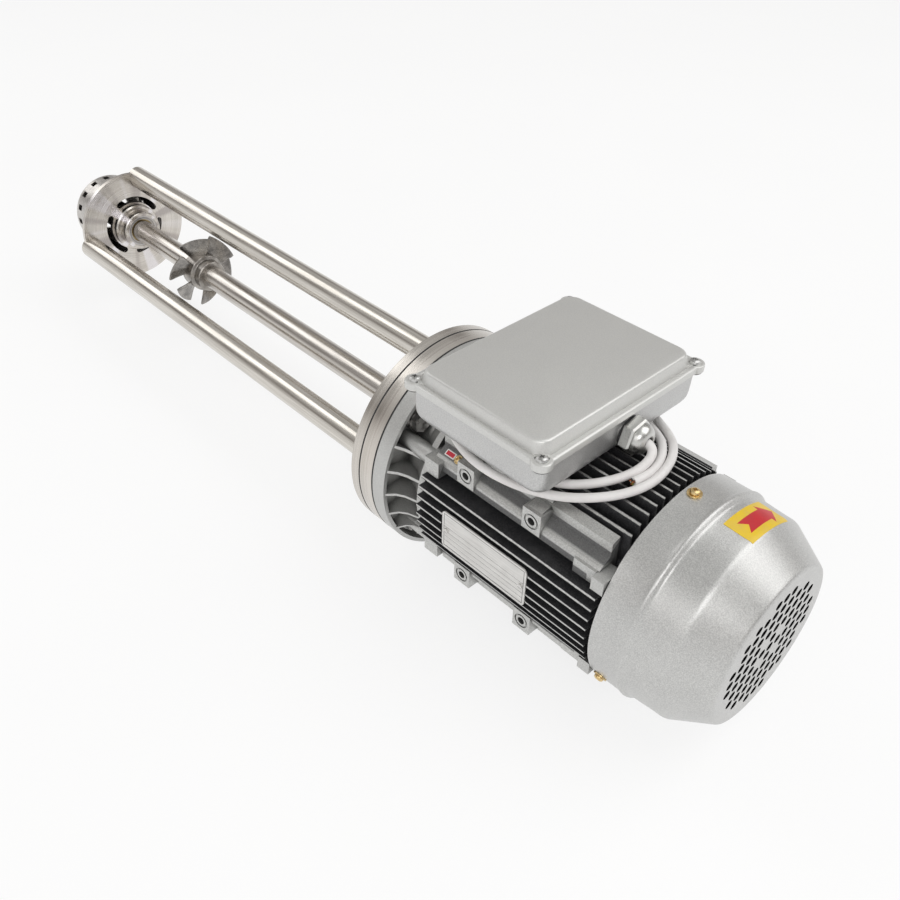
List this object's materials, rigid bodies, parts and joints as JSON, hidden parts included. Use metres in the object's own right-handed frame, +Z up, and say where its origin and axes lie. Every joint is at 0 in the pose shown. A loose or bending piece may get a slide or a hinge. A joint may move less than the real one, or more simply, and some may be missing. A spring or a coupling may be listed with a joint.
{
  "type": "emulsifying homogenizer",
  "caption": "Flange-motor emulsifying homogenizer with a long shaft held by rods, a pitched-blade impeller and a slotted rotor-stator work head.",
  "frame": {"origin": "on the machine's axis, at the head side face of the rod flange", "axes": "+X along the shaft from the work head towards the fan cowl, +Z up through the terminal box, -Y towards the camera side that carries the nameplate"},
  "size_m": [0.9788, 0.2, 0.2374],
  "materials": {
    "steel_flange": "fine turned",
    "rod_steel": "polished",
    "head_steel": "satin",
    "gasket": "matt",
    "seal_rubber": "matt",
    "bush": "matt",
    "cast_aluminium": "silver paint",
    "frame_metal": "satin black with silver edges",
    "cowl_paint": "silver paint",
    "lid_metal": "silver paint",
    "zinc_steel": "zinc plated",
    "screw_brass": "bright",
    "gland_metal": "nickel plated",
    "cable_sheath": "matt",
    "plate_metal": "brushed",
    "shaft_steel": "ground",
    "bearing_steel": "ground",
    "lamination": "plain",
    "winding": "varnished",
    "fan_plastic": "matt",
    "board_plastic": "matt",
    "capacitor_shell": "gloss"
  },
  "bodies": {
    "machine": {"rod_flange": "steel_flange", "rod_flange_gasket": "gasket", "mounting_flange": "steel_flange", "motor_flange_gasket": "gasket", "shaft_seal": "seal_rubber", "flange_bolts": "zinc_steel", "flange_washers": "zinc_steel", "support_rod_1": "rod_steel", "support_rod_2": "rod_steel", "support_rod_3": "rod_steel", "head_plate": "head_steel", "hub_bush": "bush", "bush_retaining_ring": "head_steel", "stator_cup": "head_steel", "stator_end_ring": "head_steel", "stator_screws": "head_steel", "front_end_shield": "cast_aluminium", "front_shield_bolts": "zinc_steel", "motor_frame": "frame_metal", "rear_end_shield": "cast_aluminium", "rear_shield_bolts": "zinc_steel", "fan_cowl": "cowl_paint", "cowl_screws": "screw_brass", "cowl_washers": "screw_brass", "front_bearing_outer_race": "bearing_steel", "rear_bearing_outer_race": "bearing_steel", "stator_core": "lamination", "front_winding": "winding", "rear_winding": "winding", "terminal_box": "cast_aluminium", "lid_gasket": "gasket", "terminal_box_lid": "lid_metal", "lid_screws": "screw_brass", "terminal_board": "board_plastic", "terminal_studs": "screw_brass", "start_capacitor": "capacitor_shell", "run_capacitor": "capacitor_shell", "gland_body": "gland_metal", "gland_ring": "seal_rubber", "gland_dome_nut": "gland_metal", "gland_lock_nut": "gland_metal", "power_cable": "cable_sheath", "nameplate": "plate_metal", "nameplate_rivets": "plate_metal"},
    "rotor": {"long_shaft": "shaft_steel", "head_rotor": "head_steel", "rotor_nut": "zinc_steel", "mixing_impeller": "head_steel", "impeller_set_screw": "zinc_steel", "motor_shaft": "shaft_steel", "front_bearing_inner_race": "bearing_steel", "rear_bearing_inner_race": "bearing_steel", "rotor_core": "lamination", "cooling_fan": "fan_plastic", "fan_circlip": "zinc_steel"}
  },
  "joints": [
    {"name": "shaft_spin", "type": "hinge", "parent": "machine", "child": "rotor", "pos_m": [0, 0, 0], "axis": [1, 0, 0], "continuous": true}
  ]
}
